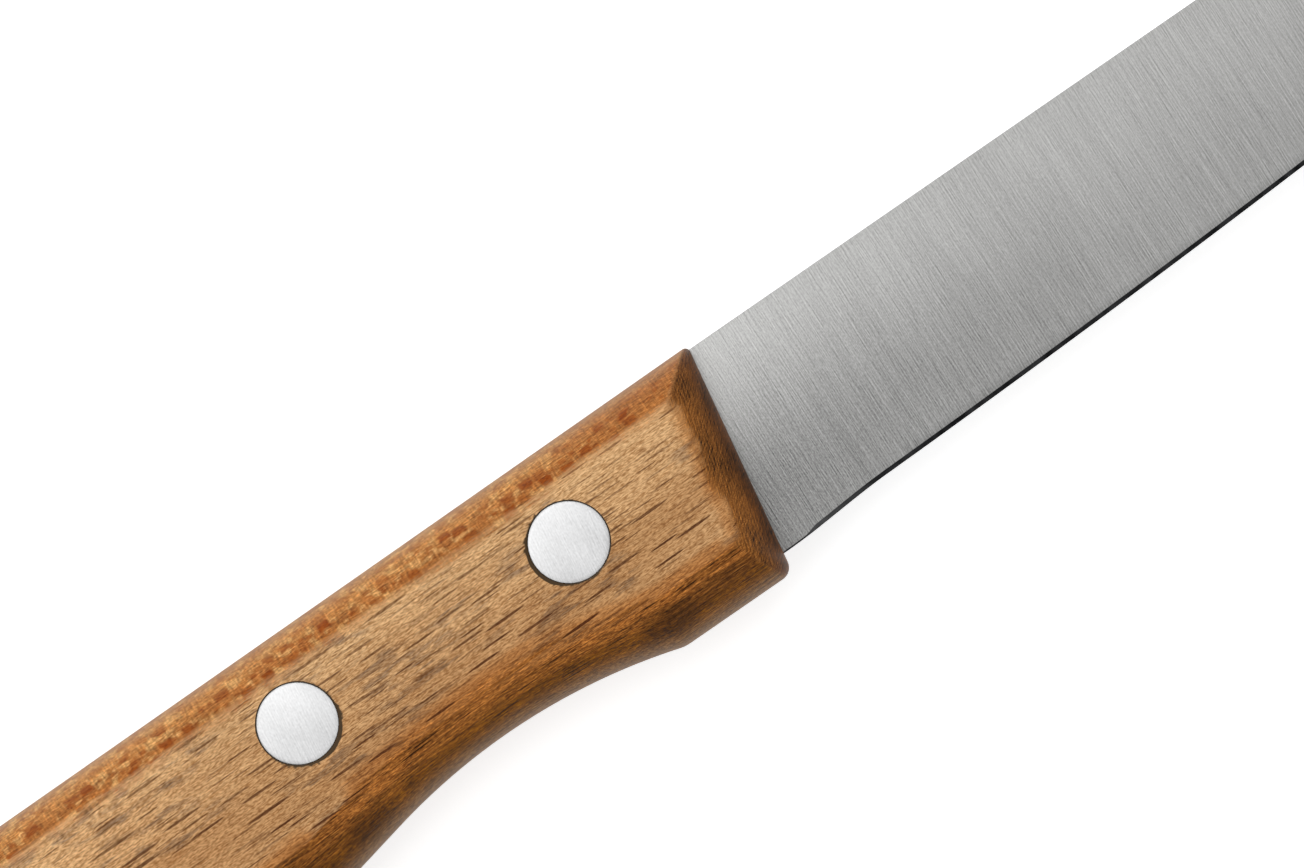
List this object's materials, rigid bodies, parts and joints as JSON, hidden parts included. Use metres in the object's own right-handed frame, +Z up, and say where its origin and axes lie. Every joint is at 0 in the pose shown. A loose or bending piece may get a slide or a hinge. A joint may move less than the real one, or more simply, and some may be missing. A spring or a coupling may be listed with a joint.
{
  "type": "paring knife",
  "caption": "Small kitchen paring knife: a flat-ground brushed steel blade with a full tang between two beech scales, shaped with a finger groove and held by flush aluminium rivets.",
  "frame": {"origin": "on the flat side of the left scale, the face the knife rests on, midway between the front and the middle rivet", "axes": "+X toward the tip, +Y toward the spine, +Z up from the rest face through the handle to the right side"},
  "size_m": [0.203, 0.0239, 0.016],
  "materials": {
    "blade_steel": "fine cross-brushed stainless steel",
    "beech": "oiled beech, sanded smooth",
    "rivet_aluminium": "ground flush, finely scratched"
  },
  "bodies": {
    "root": {"blade": "blade_steel", "scale_left": "beech", "scale_right": "beech", "rivet_front_tube": "rivet_aluminium", "rivet_front_pin": "rivet_aluminium", "rivet_middle_tube": "rivet_aluminium", "rivet_middle_pin": "rivet_aluminium", "rivet_rear_tube": "rivet_aluminium", "rivet_rear_pin": "rivet_aluminium"}
  },
  "joints": []
}
